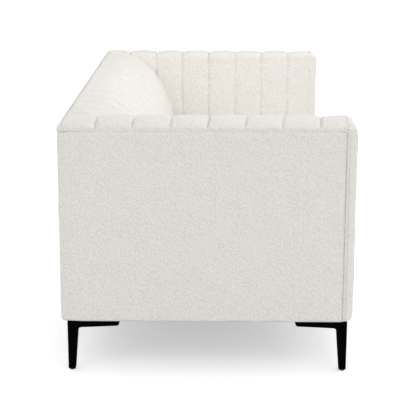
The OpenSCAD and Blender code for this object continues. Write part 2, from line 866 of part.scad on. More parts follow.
// The top rises from the edge to the crown as the rings draw in towards the middle
edge_angles = [0, 45, 90];
crown_shares = [0.12, 0.3, 0.55, 0.85];
cushion_rings = concat(
    [
        for (a = edge_angles)
            cushion_ring(cushion_edge_r * (1 - sin(a)), cushion_base_z + cushion_edge_r * (1 - cos(a)))
    ],
    [
        for (a = reversed(edge_angles))
            cushion_ring(cushion_edge_r * (1 - sin(a)), cushion_top_z - cushion_edge_r * (1 - cos(a)))
    ],
    [
        for (s = crown_shares)
            cushion_ring(
                mix(cushion_edge_r, cushion_half_d, s),
                cushion_top_z + cushion_crown * s * (2 - s)
            )
    ]
);

core_low = [-cushion_half_l + cushion_wrap, cushion_front_y + cushion_wrap, cushion_base_z + cushion_wrap];
core_high = [cushion_half_l - cushion_wrap, cushion_rear_y - cushion_wrap, cushion_top_z - cushion_wrap];
zip_half_l = cushion_half_l - zip_end_s;
zip_z = (cushion_base_z + cushion_top_z) / 2;
zip_y = cushion_rear_y - zip_groove;

module cushion_cover() {
    color(cover_colour) difference() {
        ring_solid(
            cushion_rings,
            [0, cushion_mid_y, cushion_base_z],
            [0, cushion_mid_y, cushion_top_z + cushion_crown]
        );
        block(core_low, core_high);
        block(
            [-zip_half_l, zip_y, zip_z - zip_h / 2],
            [zip_half_l, cushion_rear_y + over, zip_z + zip_h / 2]
        );
    }
}

module cushion_core() {
    color(foam_colour) block(core_low, core_high);
}

module cushion_zip() {
    color(cover_colour) {
        block([-zip_half_l, zip_y, zip_z - zip_h / 2], [zip_half_l, zip_y + zip_t, zip_z + zip_h / 2]);
        block(
            [-zip_half_l, zip_y + zip_t, zip_z - teeth_h / 2],
            [zip_half_l, zip_y + 2 * zip_t, zip_z + teeth_h / 2]
        );
    }
}

// The slider rides on the teeth, and starts at the closed end of the zip
module zip_slider() {
    x = -zip_half_l + slider_l;
    y = zip_y + 2 * zip_t + rest_gap;
    color(steel_colour) {
        block([x, y, zip_z - slider_h / 2], [x + slider_l, y + slider_t, zip_z + slider_h / 2]);
        block(
            [x + slider_l / 2, y + slider_t, zip_z - teeth_h / 2],
            [x + slider_l / 2 + tab_l, y + slider_t + tab_t, zip_z + teeth_h / 2]
        );
    }
}

front_rail();
rear_rail();
spring_rail();
side_rail("left");  // side_rail_left
side_rail("right");  // side_rail_right
centre_bearer();
corner_blocks();
arm_post("left", "front");  // arm_front_post_left
arm_post("right", "front");  // arm_front_post_right
arm_post("left", "rear");  // arm_rear_post_left
arm_post("right", "rear");  // arm_rear_post_right
arm_top_rail("left");  // arm_top_rail_left
arm_top_rail("right");  // arm_top_rail_right
back_top_rail();
back_ribs();
back_board();
inner_arm_board("left");  // inner_arm_board_left
inner_arm_board("right");  // inner_arm_board_right
outer_arm_board("left");  // outer_arm_board_left
outer_arm_board("right");  // outer_arm_board_right
outer_back_board();
seat_springs();
spring_clips();
seat_deck();
arm_pad("left");  // arm_pad_left
arm_pad("right");  // arm_pad_right
arm_front_pad("left");  // arm_front_pad_left
arm_front_pad("right");  // arm_front_pad_right
back_pad();
seat_front_pad();
outside_arm_panel("left");  // outside_arm_panel_left
outside_arm_panel("right");  // outside_arm_panel_right
outside_back_panel();
dust_cover();
leg("left", "front");  // leg_front_left
leg("right", "front");  // leg_front_right
leg("left", "rear");  // leg_rear_left
leg("right", "rear");  // leg_rear_right
centre_leg();
foot_glides();
leg_screws();
cushion_cover();
cushion_core();
cushion_zip();
zip_slider();
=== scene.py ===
import bpy
import math
import numpy as np
from mathutils import Matrix, Vector


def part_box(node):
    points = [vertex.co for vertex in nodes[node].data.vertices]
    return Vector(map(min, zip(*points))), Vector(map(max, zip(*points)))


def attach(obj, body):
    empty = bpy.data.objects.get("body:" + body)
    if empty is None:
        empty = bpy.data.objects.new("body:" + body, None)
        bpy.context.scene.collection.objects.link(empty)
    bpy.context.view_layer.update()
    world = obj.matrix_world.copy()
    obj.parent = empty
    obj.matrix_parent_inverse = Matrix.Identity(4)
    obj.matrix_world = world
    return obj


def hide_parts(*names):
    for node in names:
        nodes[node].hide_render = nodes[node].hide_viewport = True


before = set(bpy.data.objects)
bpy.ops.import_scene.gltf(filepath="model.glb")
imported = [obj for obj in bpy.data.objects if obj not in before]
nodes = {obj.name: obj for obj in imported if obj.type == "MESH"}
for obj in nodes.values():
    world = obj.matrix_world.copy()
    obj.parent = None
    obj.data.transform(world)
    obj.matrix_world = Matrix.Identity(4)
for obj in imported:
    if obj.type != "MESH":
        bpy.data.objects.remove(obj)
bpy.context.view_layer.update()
scene = bpy.context.scene

# Camera: it looks along the sofa, square on to the left arm, from 3.7 m away and a little above.
# It leans down by 14 degrees, so that the far arm and the curve of the back show over the near arm.
eye = Vector((-4.6, -0.0251, 1.4228))
look_down, look_aside, camera_roll = 13.793, 0.363, 0.139
lens_mm = 112

camera_data = bpy.data.cameras.new("view_camera")
camera_data.lens = lens_mm
camera = bpy.data.objects.new("view_camera", camera_data)
scene.collection.objects.link(camera)
camera.matrix_world = (
    Matrix.Translation(eye)
    @ Matrix.Rotation(math.radians(look_aside - 90), 4, "Z")
    @ Matrix.Rotation(math.radians(90 - look_down), 4, "X")
    @ Matrix.Rotation(math.radians(camera_roll), 4, "Z")
)
scene.camera = camera
scene.view_settings.view_transform = "Standard"


# Studio: a pale floor under an even white sky, a very broad soft lamp on each side, and a softbox
# over the seat. Seen directly, the floor is lifted to white where it is fully lit, and it keeps the
# sofa's shadow.
class Term:
    """An output socket. Its sums, products and differences, with terms or numbers, add Math nodes."""

    def __init__(self, finish, socket):
        self.finish = finish
        self.socket = socket

    def maths(self, operation, first, second):
        settings = {"operation": operation}
        return self.finish.node("ShaderNodeMath", settings=settings, inputs={0: first, 1: second})

    def __add__(self, other):
        return self.maths("ADD", self, other)

    def __rsub__(self, other):
        return self.maths("SUBTRACT", other, self)

    def __mul__(self, other):
        return self.maths("MULTIPLY", self, other)

    __radd__ = __add__
    __rmul__ = __mul__


class Finish:
    """A node tree in the making. Its node method adds any node and gives back one of its outputs."""

    def __init__(self, name, tree=None):
        self.material = None if tree else bpy.data.materials.new(name)
        if self.material:
            self.material.use_nodes = True
        self.tree = tree or self.material.node_tree
        self.tree.nodes.clear()

    def node(self, kind, out=0, settings=None, inputs=None):
        made = self.tree.nodes.new(kind)
        for key, value in (settings or {}).items():
            setattr(made, key, value)
        for key, value in (inputs or {}).items():
            if isinstance(value, Term):
                self.tree.links.new(value.socket, made.inputs[key])
            else:
                made.inputs[key].default_value = value
        return Term(self, made.outputs[out]) if made.outputs else None

    def mix(self, share, first, second):
        """A blend of two colours, from the first at a share of 0 to the second at 1."""
        return self.node(
            "ShaderNodeMix", out=2, settings={"data_type": "RGBA"},
            inputs={0: share, 6: (*first, 1), 7: (*second, 1)},
        )

    def place(self, stretch=(1, 1, 1)):
        """Object coordinates, stretched along each axis."""
        where = self.node("ShaderNodeTexCoord", out="Object")
        return self.node("ShaderNodeMapping", inputs={"Vector": where, "Scale": stretch})

    def noise(self, where, scale, detail, out=0):
        """Soft noise, with so many blobs to a metre and so many finer layers."""
        inputs = {"Vector": where, "Scale": scale, "Detail": detail}
        return self.node("ShaderNodeTexNoise", out=out, inputs=inputs)

    def cells(self, where, scale, settings=None, **more):
        """Distance from the nearest of scattered points, so many to a metre."""
        inputs = {"Vector": where, "Scale": scale, **more}
        return self.node("ShaderNodeTexVoronoi", out="Distance", settings=settings, inputs=inputs)

    def bump(self, height, relief):
        """A normal from a height of 0 to 1 that stands for a relief in metres."""
        return self.node("ShaderNodeBump", inputs={"Height": height, "Distance": relief})

    def surface(self, **inputs):
        """Ends the material in one Principled shader."""
        named = {key.replace("_", " "): value for key, value in inputs.items()}
        shader = self.node("ShaderNodeBsdfPrincipled", inputs=named)
        self.node("ShaderNodeOutputMaterial", inputs={"Surface": shader})
        return self.material

    def seen_as(self, plain, shown):
        """The shown shader for rays from the camera, a mirror or glass, and the plain one for light."""
        seen = [
            self.node("ShaderNodeLightPath", out=ray)
            for ray in ("Is Camera Ray", "Is Glossy Ray", "Is Transmission Ray")
        ]
        share = seen[0] + seen[1] + seen[2]
        return self.node("ShaderNodeMixShader", inputs={0: share, 1: plain, 2: shown})


def new_object(name, points, faces):
    """An object in the scene, whose mesh has these points and faces."""
    mesh = bpy.data.meshes.new(name)
    mesh.from_pydata(points, [], faces)
    made = bpy.data.objects.new(name, mesh)
    scene.collection.objects.link(made)
    return made


floor_half, floor_grey, white = 40.0, (0.8, 0.8, 0.8, 1), (1, 1, 1, 1)
floor_lift, sky_light = 0.44, 0.27
studio_floor = new_object(
    "studio_floor",
    [(x * floor_half, y * floor_half, 0) for x, y in ((-1, -1), (1, -1), (1, 1), (-1, 1))],
    [(0, 1, 2, 3)],
)

floor_paint = Finish("floor_paint")
lit = floor_paint.node("ShaderNodeBsdfDiffuse", inputs={"Color": floor_grey})
whitened = floor_paint.node("ShaderNodeBsdfDiffuse", inputs={"Color": white})
glow = floor_paint.node("ShaderNodeEmission", inputs={"Color": white, "Strength": floor_lift})
lifted = floor_paint.node("ShaderNodeAddShader", inputs={0: whitened, 1: glow})
floor_paint.node("ShaderNodeOutputMaterial", inputs={"Surface": floor_paint.seen_as(lit, lifted)})
studio_floor.data.materials.append(floor_paint.material)

world = bpy.data.worlds.new("studio_sky")
scene.world = world
world.use_nodes = True
sky = Finish("", world.node_tree)
plain_sky = sky.node("ShaderNodeBackground", inputs={"Color": white, "Strength": sky_light})
white_sky = sky.node("ShaderNodeBackground", inputs={"Color": white, "Strength": 1})
sky.node("ShaderNodeOutputWorld", inputs={"Surface": sky.seen_as(plain_sky, white_sky)})

lamp_spread, softbox_w, softbox_place = math.radians(100), 1.4, (0, -0.4, 1.9)
for name, kind, energy, towards in (
    ("front_lamp", "SUN", 1.55, (0, 1, -0.1)), ("rear_lamp", "SUN", 0.7, (0, -1, -0.5)),
    ("left_lamp", "SUN", 1.42, (1, 0, -0.3)), ("right_lamp", "SUN", 0.95, (-1, 0, -0.35)),
    ("softbox", "AREA", 5.4, (0, 0.5, -1.5)),
):
    lamp_data = bpy.data.lights.new(name, kind)
    lamp_data.energy = energy
    if kind == "SUN":
        lamp_data.angle = lamp_spread
    else:
        lamp_data.size = softbox_w
    lamp = bpy.data.objects.new(name, lamp_data)
    scene.collection.objects.link(lamp)
    lamp.location = softbox_place
    lamp.visible_camera = False
    lamp.rotation_mode = "QUATERNION"
    lamp.rotation_quaternion = Vector(towards).to_track_quat("-Z", "Y")


# Frame: sawn and planed hardwood, glued and screwed, with plywood ribs and hardboard panels.
# The cover hides it all; the CAD nodes stay and take wood grain along their own length.
def wood_finish(name, along, pale, dark, ring, roughness):
    """Grain: bent rings and slow noise, both drawn out along the length, with fine pores in them."""
    wood = Finish(name)
    drawn_out = [0.06 if axis == along else 1.0 for axis in "xyz"]
    where = wood.place(drawn_out)
    drift = wood.noise(where, scale=18, detail=3)
    rings = wood.node(
        "ShaderNodeTexWave", out="Fac",
        settings={"wave_type": "RINGS", "rings_direction": along.upper()},
        inputs={"Vector": where, "Scale": ring, "Distortion": 6, "Detail": 3, "Detail Scale": 2},
    )
    pores = wood.noise(where, scale=900, detail=2)
    grain = rings * 0.5 + drift * 0.3 + pores * 0.2
    return wood.surface(
        Base_Color=wood.mix(grain, pale, dark), Roughness=roughness + 0.15 * pores,
        Normal=wood.bump(grain, relief=0.0004),
    )


def dress(material, *names):
    """Gives CAD nodes their finish."""
    for name in names:
        slots = nodes[name].data.materials
        slots.clear()
        slots.append(material)


beech = {
    along: wood_finish(
        f"beech_{along}", along, pale=(0.66, 0.47, 0.29), dark=(0.47, 0.3, 0.16), ring=22, roughness=0.55
    )
    for along in "xyz"
}
dress(beech["x"], "front_rail", "rear_rail", "spring_rail", "back_top_rail")
dress(
    beech["y"], "side_rail_left", "side_rail_right", "centre_bearer",
    "arm_top_rail_left", "arm_top_rail_right",
)
dress(
    beech["z"], "corner_blocks", "arm_front_post_left", "arm_front_post_right",
    "arm_rear_post_left", "arm_rear_post_right",
)
plywood = wood_finish(
    "rib_plywood", "z", pale=(0.71, 0.54, 0.35), dark=(0.56, 0.4, 0.24), ring=60, roughness=0.6
)
dress(plywood, "back_ribs")


def hardboard_finish():
    """Pressed fibres: two sizes of noise, smooth on the face."""
    board = Finish("hardboard")
    pale, dark = (0.33, 0.205, 0.11), (0.2, 0.115, 0.06)
    fibre = board.noise(board.place(), scale=260, detail=4)
    cloud = board.noise(board.place(), scale=9, detail=2)
    return board.surface(
        Base_Color=board.mix(fibre * 0.7 + cloud * 0.3, pale, dark),
        Roughness=0.45 + 0.2 * fibre, Normal=board.bump(fibre, relief=0.0002),
    )


dress(
    hardboard_finish(), "back_board", "inner_arm_board_left", "inner_arm_board_right",
    "outer_arm_board_left", "outer_arm_board_right", "outer_back_board",
)


# Springs, clips and screws: drawn steel wire and zinc-plated steel.
# The springs run from the front rail to the spring rail, and the clips hold their end bars down.
def steel_finish(name, tone, roughness):
    """Drawn metal: fine marks across the wire, and faint stains a quarter paler than the metal."""
    steel = Finish(name)
    draw = steel.noise(steel.place((1, 8, 1)), scale=420, detail=2)
    stain = steel.noise(steel.place(), scale=30, detail=3)
    paler = tuple(min(1.0, channel * 1.25) for channel in tone)
    return steel.surface(
        Base_Color=steel.mix(stain, tone, paler), Metallic=1.0,
        Roughness=roughness + 0.18 * stain, Normal=steel.bump(draw, relief=0.00008),
    )


dress(steel_finish("spring_wire", (0.33, 0.33, 0.34), roughness=0.34), "seat_springs", "spring_clips")
dress(steel_finish("zinc_plate", (0.52, 0.52, 0.5), roughness=0.28), "leg_screws", "zip_slider")


# Legs: cast corner legs with a bracket along both edges, and a turned centre leg, powder coated black.
# Their screws go up into the rails, and a nylon glide is pressed into each foot.
def powder_coat():
    """Satin black paint with the faint orange peel of a baked powder, a little paler where handled."""
    coat = Finish("black_powder_coat")
    black, handled = (0.0005, 0.0005, 0.0005), (0.0022, 0.0022, 0.0024)
    peel = coat.noise(coat.place(), scale=900, detail=2)
    handling = coat.noise(coat.place(), scale=14, detail=4)
    return coat.surface(
        Base_Color=coat.mix(handling, black, handled),
        Roughness=0.42 + 0.16 * handling, Normal=coat.bump(peel, relief=0.00006),
        Specular_IOR_Level=0.01,
    )


dress(powder_coat(), "leg_front_left", "leg_front_right", "leg_rear_left", "leg_rear_right", "centre_leg")

nylon = Finish("glide_nylon")
black_nylon, scuffed_nylon = (0.012, 0.012, 0.012), (0.035, 0.035, 0.034)
scuff = nylon.noise(nylon.place(), scale=300, detail=3)
dress(
    nylon.surface(
        Base_Color=nylon.mix(scuff, black_nylon, scuffed_nylon),
        Roughness=0.5 + 0.25 * scuff, Normal=nylon.bump(scuff, relief=0.0001),
    ),
    "foot_glides",
)


# Arm covers: wadding and looped cloth, sewn into channels that run over the arm and down inside it.
# Each is one skin from the outer seam to the seat deck, stretched over the arm frame and stapled.
def looped_cloth():
    """Looped yarn: rounded cells are the loops, smaller cells their curls, and slow noise their clumps, all
    stirred a little. The gaps between them lie lower, and their colour is painted darker as shade; the clumps
    vary the tone at random."""
    cloth = Finish("looped_cloth")
    # The darker tone is painted shade for the gaps between loops; the paler one is the yarn's own colour.
    gap_shade_tone, loop_tone, stir_reach = (0.81, 0.772, 0.722), (1.0, 0.98, 0.955), 0.006
    where = cloth.place()
    stir = cloth.noise(where, scale=55, detail=2, out="Color")
    stirred = cloth.node(
        "ShaderNodeVectorMath", settings={"operation": "MULTIPLY_ADD"},
        inputs={0: stir, 1: (stir_reach,) * 3, 2: where},
    )
    loops, curls = (1 - cloth.cells(stirred, scale) for scale in (165, 430))
    clumps = cloth.noise(stirred, scale=120, detail=1)
    fluff = cloth.noise(where, scale=1100, detail=3)
    height = loops * 0.6 + curls * 0.15 + clumps * 0.2 + fluff * 0.05
    # Painted shade: the colour darkens in the gaps between loops and curls, where the relief sinks; the
    # clumps add a real random tone.
    share = loops * 0.65 + curls * 0.15 + clumps * 0.2
    return cloth.surface(
        Base_Color=cloth.mix(share, gap_shade_tone, loop_tone), Roughness=0.95,
        Normal=cloth.bump(height, relief=0.0038),
        Sheen_Weight=0.1, Sheen_Roughness=0.5, Specular_IOR_Level=0.15,
    )


looped_white = looped_cloth()
grid_step = 0.006
wave_count = 16
slack_relief, slack_wave = 0.0006, 0.11
loop_relief, loop_wave = 0.00025, 0.015


def waves(points, length, seed):
    """Smooth unevenness: the sum of plane waves of about one length, in seeded random directions."""
    dice = np.random.default_rng(seed)
    ways = dice.normal(size=(wave_count, 3))
    spread = dice.uniform(0.75, 1.3, (wave_count, 1))
    ways *= 2 * np.pi / length * spread / np.linalg.norm(ways, axis=1, keepdims=True)
    starts = dice.uniform(0, 2 * np.pi, wave_count)
    return np.sin(points @ ways.T + starts).sum(-1) / np.sqrt(wave_count / 2)


def cloth_relief(points, seed):
    """How far looped cloth stands off its mean surface: slow slackness and the lumps of the loops."""
    slackness = slack_relief * waves(points, slack_wave, seed)
    return slackness + loop_relief * waves(points, loop_wave, seed + 1)


def run_along(path):
    """How far each point of a polyline is from its start, along it."""
    return np.concatenate([[0], np.cumsum(np.linalg.norm(np.diff(path, axis=0), axis=1))])


def matched(path, count):
    """A polyline sampled at a given number of points, equally spaced along its length."""
    run = run_along(path)
    at = np.linspace(0, run[-1], count)
    return np.stack([np.interp(at, run, path[:, k]) for k in range(path.shape[1])], -1)


def evenly(path, step):
    """A polyline sampled at equal steps along its length, as near to the given step as they come."""
    return matched(path, int(round(run_along(path)[-1] / step)) + 1)


def arc(centre, reach, first, last, count=14):
    """Points on an ellipse, at equal angles from one to another in degrees."""
    angles = np.radians(np.linspace(first, last, count))
    return np.stack([centre[0] + reach[0] * np.cos(angles), centre[1] + reach[1] * np.sin(angles)], -1)


def facing(path):
    """Unit normals to the left of a path in a plane."""
    way = np.gradient(path, axis=0)
    way /= np.linalg.norm(way, axis=1, keepdims=True)
    return np.stack([-way[:, 1], way[:, 0]], -1)


def channel_lines(seams, each):
    """Places of grid lines across channels, closer together near the seams: a fifth of an even
    spread and four fifths of a cosine spread between each seam and the next."""
    t = np.linspace(0, 1, each + 1)[:-1]
    share = 0.2 * t + 0.4 * (1 - np.cos(np.pi * t))
    seams = np.asarray(seams)
    lines = seams[:-1, None] + np.diff(seams)[:, None] * share
    return np.append(lines.ravel(), seams[-1])


def smooth_step(value, low, high):
    """0 below low, 1 above high, and a smooth cubic between."""
    t = np.clip((value - low) / (high - low), 0, 1)
    return t * t * (3 - 2 * t)


def bell(distance, width, power=2):
    """A bell curve: e to the power of minus the distance in widths, squared or raised otherwise."""
    return np.exp(-((distance / width) ** power))


# The channels' depth at the outer edge and on the face, and where along a section one turns into the
# other; the depth and the width of the creases, each over the top and on the face
edge_dip, face_dip, dip_eases, dip_power = 0.0065, 0.003, (0.03, 0.12), 2.4
crease_depth, crease_w = (0.008, 0.0058), (0.003, 0.005)
crease_eases, crease_power = (0.13, 0.2), 1.4


def channel_dip(across, along, seams, half):
    """How far sewn channels sink, on a grid, and how near each of its rows is to a seam. The wadding
    swells as a power curve between seams, more at the outer edge than further along the section, and
    a crease lies along the stitches, narrow over the top and softer down the face."""
    distance = np.abs(across[:, None] - np.asarray(seams)).min(1)[:, None]
    near = np.clip(1 - distance / half, 0, 1)
    swell = edge_dip + (face_dip - edge_dip) * smooth_step(along, *dip_eases)
    onto_face = smooth_step(along, *crease_eases)
    depth, width = (a + (b - a) * onto_face for a, b in (crease_depth, crease_w))
    return swell * near ** dip_power + depth * bell(distance, width, crease_power), near


def cells_of(index):
    """The four corners of each cell of a grid of point numbers."""
    return np.stack([index[:-1, :-1], index[:-1, 1:], index[1:, 1:], index[1:, :-1]], -1).reshape(-1, 4)


def make_piece(name, points, quads, material, body):
    """A mesh object from points and four-sided faces, turned so that its faces point outwards."""
    corner = points[quads]
    volume = sum(
        np.einsum("ij,ij->", corner[:, 0], np.cross(corner[:, k], corner[:, k + 1])) for k in (1, 2)
    )
    piece = new_object(name, points.tolist(), (quads if volume > 0 else quads[:, ::-1]).tolist())
    piece.data.polygons.foreach_set("use_smooth", np.ones(len(quads), bool))
    piece.data.materials.append(material)
    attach(piece, body)
    return piece


def shell(name, outer, inner, material=looped_white):
    """A closed skin between two grids of points, joined round their four edges."""
    rows, columns = outer.shape[:2]
    count = rows * columns
    index = np.arange(count).reshape(rows, columns)
    face = cells_of(index)
    rim = np.concatenate([index[0, :-1], index[:-1, -1], index[-1, :0:-1], index[:0:-1, 0]])
    after = np.roll(rim, -1)
    sides = np.stack([after, rim, rim + count, after + count], -1)
    quads = np.concatenate([face, face[:, ::-1] + count, sides])
    points = np.concatenate([outer.reshape(-1, 3), inner.reshape(-1, 3)])
    return make_piece(name, points, quads, material, "sofa")


def carried(across, section, axis):
    """A grid of points: each row is the section, whose points are given in the two other axes, at
    one place along the axis that it is carried along."""
    grid = np.empty((len(across), len(section), 3))
    grid[..., axis] = across[:, None]
    grid[..., [k for k in range(3) if k != axis]] = section
    return grid


arm_low, arm_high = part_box("arm_pad_left")
panel_low, panel_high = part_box("outside_arm_panel_left")
board_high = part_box("inner_arm_board_left")[1]
rail_low, rail_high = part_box("arm_top_rail_left")
arm_outer, arm_inner, arm_top, deck_z = arm_low.x, arm_high.x, arm_high.z, arm_low.z
arm_front, arm_rear, seam_z = arm_low.y, arm_high.y, panel_high.z
inner_edge_r, outer_edge_d, outer_edge_h = 0.018, 0.075, 0.024
arm_pitch, arm_channels, lines_each = 0.11, 8, 26
outer_board_t, lining_gap = 0.003, 0.0003
panel_back_x = rail_low.x - outer_board_t - lining_gap
board_x, frame_top_z = board_high.x + lining_gap, rail_high.z + lining_gap

# How the cover is held and rolled in at its borders, and how its seams wander, pucker and lean
seam_hold, seam_roll, front_calm = 0.032, 0.004, 0.02
rear_roll, front_roll, end_roll_reach = 0.001, 0.0014, 0.003
arm_wander, wander_wave = 0.001, 0.16
tuck, tuck_wave = 0.0007, 0.03
lean_eases, lean_end = (0.01, 0.17), 0.09

arm_section = evenly(
    np.concatenate([
        [(arm_outer, seam_z)],
        arc(
            (arm_outer + outer_edge_d, arm_top - outer_edge_h), (outer_edge_d, outer_edge_h),
            180, 90, count=30,
        ),
        arc((arm_inner - inner_edge_r, arm_top - inner_edge_r), (inner_edge_r, inner_edge_r), 90, 0),
        [(arm_inner, deck_z)],
    ]),
    grid_step,
)
arm_lining = matched(
    np.array([
        (panel_back_x, seam_z), (panel_back_x, frame_top_z), (board_x, frame_top_z), (board_x, deck_z),
    ]),
    len(arm_section),
)
arm_seams = [panel_high.y - arm_pitch * k for k in range(1, arm_channels)]
arm_lines = channel_lines([arm_rear, *arm_seams, arm_front], lines_each)

# The top edge at the rear is a quarter of an ellipse, shared by the covers and the outside back
rear_round_d, rear_round_h = 0.03, 0.022


def rear_round(y):
    """How far the top has sunk at a place near the rear, on that quarter of an ellipse."""
    past = np.clip(y - (panel_high.y - rear_round_d), 0, rear_round_d) / rear_round_d
    return rear_round_h * (1 - np.sqrt(1 - past ** 2))


def arm_cover(seed, lean):
    """The left arm's cover: its section is carried along the arm, sinks at the channel seams and
    rolls in where it is sewn to the outside panel and to the outside back. On their way over it the
    seams lean along the arm, by one distance near the front and another near the rear."""
    grid = carried(arm_lines, arm_section, 1)
    normal = carried(np.zeros(len(arm_lines)), facing(arm_section), 1)
    along = np.linspace(0, grid_step * (len(arm_section) - 1), len(arm_section))
    dip, near = channel_dip(arm_lines, along, arm_seams, arm_pitch / 2)
    held = smooth_step(along, 0, seam_hold)
    roll = seam_roll * bell(along, seam_roll)
    ends = rear_round(arm_lines) + rear_roll * np.exp((arm_lines - arm_rear) / end_roll_reach)
    ends += front_roll * np.exp((arm_front - arm_lines) / end_roll_reach)
    calm = smooth_step(arm_lines, arm_front, arm_front + front_calm)
    wander = arm_wander * waves(grid, wander_wave, seed + 5) * near ** 2
    tucked = tuck * waves(grid, tuck_wave, seed + 6) * near ** 2
    relief = cloth_relief(grid, seed) * calm[:, None]
    grid -= normal * (dip * held + roll + ends[:, None] + tucked - relief)[..., None]
    ending = smooth_step(arm_lines, arm_front, arm_front + lean_end)
    ending = ending * smooth_step(arm_lines, arm_rear, arm_rear - lean_end)
    drift = np.interp(arm_lines, arm_lines[[-1, 0]], lean) * ending
    grid[1:-1, :, 1] += (wander + drift[:, None] * smooth_step(along, *lean_eases))[1:-1]
    return grid


mirrored = np.array([-1, 1, 1])
lining = carried(arm_lines, arm_lining, 1)
for side, turned, seed, lean in (
    ("left", 1, 10, (-0.013, 0.0)), ("right", mirrored, 20, (0.013, 0.004)),
):
    cover = shell(f"arm_cover_{side}", arm_cover(seed, lean) * turned, lining * turned)
    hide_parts(f"arm_pad_{side}")


# Arm fronts: a padded facing on the end of each arm, with a rounded edge that turns back to the seam.
# It is boxed over foam and stapled under the frame.
def edge_lines(low, high, r, step, turns=11):
    """Grid lines between two borders: at equal angles round each rounded edge, evenly between."""
    turn = r * (1 - np.cos(np.linspace(0, np.pi / 2, turns)))
    flat = np.linspace(low + r, high - r, int(round((high - low - 2 * r) / step)) + 1)
    return np.concatenate([low + turn[:-1], flat, high - turn[-2::-1]])


def corner_in(distance, reach, height):
    """How far a rounded corner draws in a panel's border, at a distance from the corner's tip: a
    quarter of an ellipse, of a reach along the far border and a height along this one."""
    past = np.clip(1 - distance / height, 0, 1)
    return reach * (1 - np.sqrt(1 - past ** 2))


front_low, front_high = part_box("arm_front_pad_left")
front_r, top_roll, low_corner_r = 0.0285, 0.034, 0.012
face_crown, facing_gap, facing_calm = 0.0015, 0.0004, 0.01
pinch, pinch_w, pinch_eases = 0.005, 0.007, (0.004, -0.012)
face_x = edge_lines(arm_outer, arm_inner, front_r, grid_step)
face_z = edge_lines(front_low.z, front_high.z, front_r, grid_step)


def arm_facing(seed):
    """The left arm's front: its border is the arm's outline with rounded corners, and its depth
    rises as a quarter circle from the border, then as a slow crown to the middle. The circle is
    stretched downwards at the top, and the cloth is pinched in beside the welt."""
    across = (face_x - arm_outer) / (arm_inner - arm_outer)
    below, above = face_z - front_low.z, front_high.z - face_z
    foot = corner_in(below, low_corner_r, low_corner_r)
    left = arm_outer + foot + corner_in(above, outer_edge_d, outer_edge_h)
    right = arm_inner - foot - corner_in(above, inner_edge_r, inner_edge_r)
    x = left[:, None] + (right - left)[:, None] * across
    z = np.repeat(face_z[:, None], len(face_x), 1)
    top = front_high.z - corner_in(x - arm_outer, outer_edge_h, outer_edge_d)
    top -= corner_in(arm_inner - x, inner_edge_r, inner_edge_r)
    inside = np.minimum(
        np.minimum(x - left[:, None], right[:, None] - x),
        np.minimum(z - front_low.z, (top - z) * front_r / top_roll),
    )
    turn = np.sqrt(1 - (1 - np.clip(inside / front_r, 0, 1)) ** 2)
    crown = face_crown * smooth_step(inside, 0, (arm_inner - arm_outer) / 2)
    grid = np.stack([x, arm_front - facing_gap - front_r * turn - crown, z], -1)
    grid[..., 1] -= cloth_relief(grid, seed) * smooth_step(inside, 0, facing_calm)
    low_down = smooth_step(z, *(seam_z + reach for reach in pinch_eases))
    grid[..., 0] += pinch * bell(front_r * turn, pinch_w) * low_down * smooth_step(across, 0.5, 0)
    return grid


for side, turned, seed in (("left", 1, 30), ("right", mirrored, 40)):
    outer = arm_facing(seed)
    lining = outer * (1, 0, 1) + (0, arm_front - lining_gap / 2, 0)
    facing_piece = shell(f"arm_facing_{side}", outer * turned, lining * turned)
    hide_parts(f"arm_front_pad_{side}")


# Outside arm panels: thin wadding and cloth over hardboard, sewn under the band and folded under
# the frame. Their top and front edges carry a welt, a cloth-covered cord in the seam.
def roll_in(distance, r):
    """How far a panel's edge rolls back at a distance from its border: a quarter circle."""
    return r - np.sqrt(r ** 2 - np.clip(r - distance, 0, r) ** 2)


panel_corner_r, panel_edge_r, panel_crown = 0.016, 0.012, 0.0022
panel_roll_max, panel_calm = 0.0115, 0.002
rear_fall, rear_fall_d, rear_turn_r, foot_turn_r = 0.0075, 0.07, 0.004, 0.009
front_groove, front_groove_w = 0.005, 0.007
top_groove, top_groove_w = 0.0045, 0.006
panel_y = edge_lines(panel_low.y, panel_high.y, panel_edge_r, grid_step)
panel_z = edge_lines(panel_low.z, panel_high.z, panel_edge_r, grid_step)


def outside_panel(seed):
    """The left outside panel: flat with a slight crown, rolled in at the bottom, falling away as a
    parabola towards the rear, sunk as a narrow bell curve beside its sewn edges, and rounded at the
    bottom rear corner."""
    rear = panel_high.y - corner_in(panel_z - panel_low.z, panel_corner_r, panel_corner_r)
    share = (panel_y - panel_low.y) / (panel_high.y - panel_low.y)
    y = panel_low.y + (rear - panel_low.y)[:, None] * share
    z = np.repeat(panel_z[:, None], len(panel_y), 1)
    from_rear = rear[:, None] - y
    roll = (
        rear_fall * np.clip(1 - from_rear / rear_fall_d, 0, 1) ** 2
        + roll_in(from_rear, rear_turn_r)
        + roll_in(z - panel_low.z, foot_turn_r)
        + np.maximum(
            front_groove * bell(y - panel_low.y, front_groove_w),
            top_groove * bell(panel_high.z - z, top_groove_w),
        )
    )
    tall = (z - panel_low.z) / (panel_high.z - panel_low.z)
    crown = panel_crown * np.sin(np.pi * share) ** 0.5 * np.sin(np.pi * tall) ** 0.5
    grid = np.stack([np.full_like(y, arm_outer), y, z], -1)
    relief = cloth_relief(grid, seed) * smooth_step(roll, panel_calm, 0)
    grid[..., 0] += np.minimum(roll, panel_roll_max) - crown - relief
    return grid


welt_r, welt_corner_r, welt_end = 0.003, 0.005, 0.004
welt_step, welt_sides = 0.004, 12
welt_sunk, welt_tuck, welt_tuck_eases = 0.0012, 0.003, (0.008, 0.02)
welt_relief, welt_wave = 0.0005, 0.013


def welt_path():
    """From the rear along the top seam, round the front corner and down to the bottom of the panel."""
    turn = arc((arm_front + welt_corner_r, seam_z - welt_corner_r), (welt_corner_r, welt_corner_r), 90, 180)
    ends = [[(panel_high.y - welt_end, seam_z)], turn, [(arm_front, front_low.z + welt_end)]]
    return evenly(np.concatenate(ends), welt_step)


